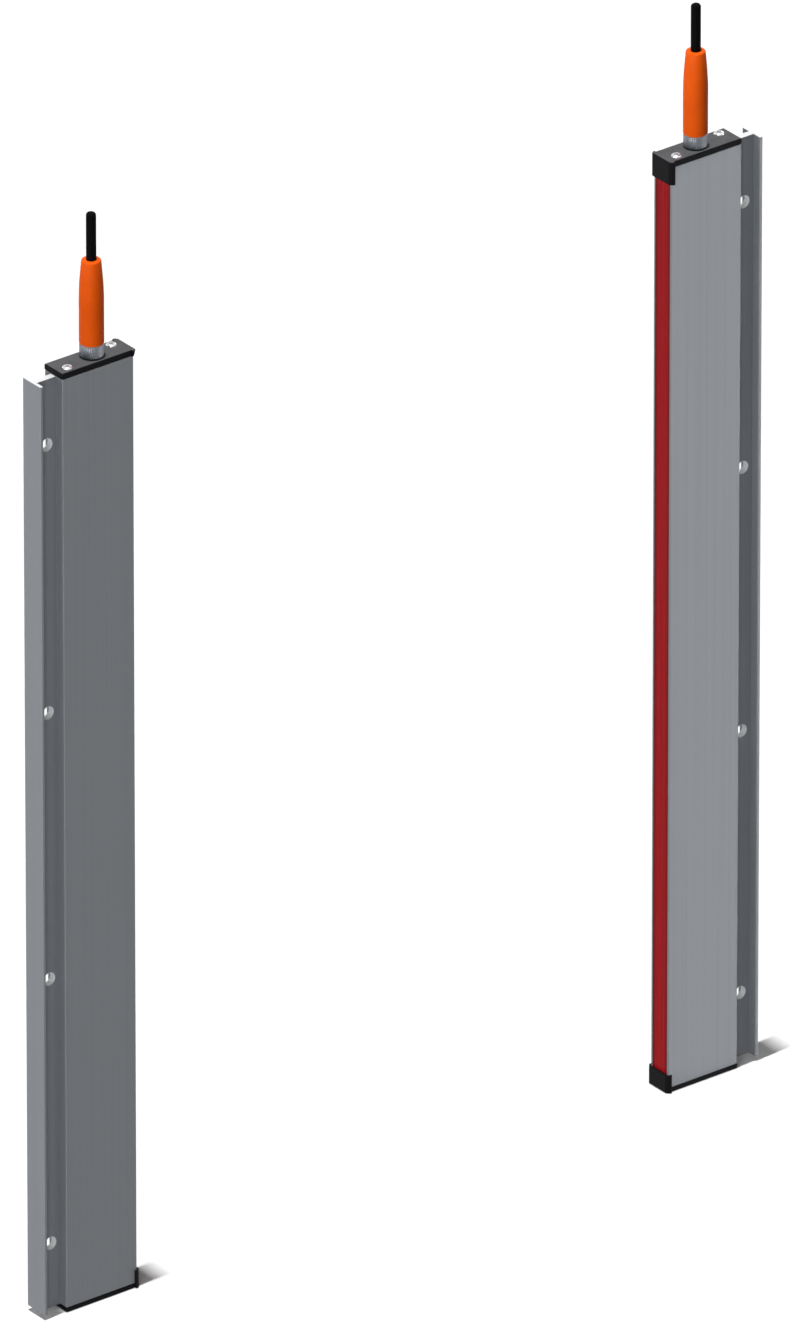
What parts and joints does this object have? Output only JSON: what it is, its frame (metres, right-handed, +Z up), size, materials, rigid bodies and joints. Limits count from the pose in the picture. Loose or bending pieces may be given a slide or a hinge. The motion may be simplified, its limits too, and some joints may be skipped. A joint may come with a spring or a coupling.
{
  "type": "elevator light curtain",
  "caption": "Slim light curtain bars, an emitter and a receiver with red windows, end caps and plug connectors on top, that face each other across a lift's doorway.",
  "frame": {"origin": "centre of the mounting holes' pattern, midway across the doorway, on the bars' middle plane", "axes": "+X along the beams from the emitter to the receiver, +Y through the bars' thickness away from the viewer, +Z up along the bars"},
  "size_m": [0.3626, 0.014, 0.4849],
  "materials": {
    "anodised_aluminium": "grey anodised, satin",
    "red_filter": "dark red, smooth",
    "board_laminate": "green solder mask",
    "diode_resin": "dark tinted resin",
    "chip_resin": "moulded black",
    "gasket_rubber": "black, matt",
    "cap_plastic": "moulded black, fine grain",
    "screw_steel": "bright zinc",
    "socket_plastic": "moulded black",
    "pin_brass": "gold flashed",
    "nut_metal": "nickel plated, knurled",
    "plug_plastic": "moulded orange, satin",
    "cable_jacket": "black, satin"
  },
  "bodies": {
    "root": {"emitter_housing": "anodised_aluminium", "emitter_window": "red_filter", "emitter_circuit_board": "board_laminate", "emitter_diodes": "diode_resin", "emitter_driver_chips": "chip_resin", "emitter_top_gasket": "gasket_rubber", "emitter_bottom_gasket": "gasket_rubber", "emitter_top_cap": "cap_plastic", "emitter_bottom_cap": "cap_plastic", "emitter_cap_screws": "screw_steel", "emitter_socket": "socket_plastic", "emitter_socket_pins": "pin_brass", "emitter_coupling_nut": "nut_metal", "emitter_connector_plug": "plug_plastic", "emitter_cable_tail": "cable_jacket", "receiver_housing": "anodised_aluminium", "receiver_window": "red_filter", "receiver_circuit_board": "board_laminate", "receiver_diodes": "diode_resin", "receiver_driver_chips": "chip_resin", "receiver_top_gasket": "gasket_rubber", "receiver_bottom_gasket": "gasket_rubber", "receiver_top_cap": "cap_plastic", "receiver_bottom_cap": "cap_plastic", "receiver_cap_screws": "screw_steel", "receiver_socket": "socket_plastic", "receiver_socket_pins": "pin_brass", "receiver_coupling_nut": "nut_metal", "receiver_connector_plug": "plug_plastic", "receiver_cable_tail": "cable_jacket"}
  },
  "joints": []
}
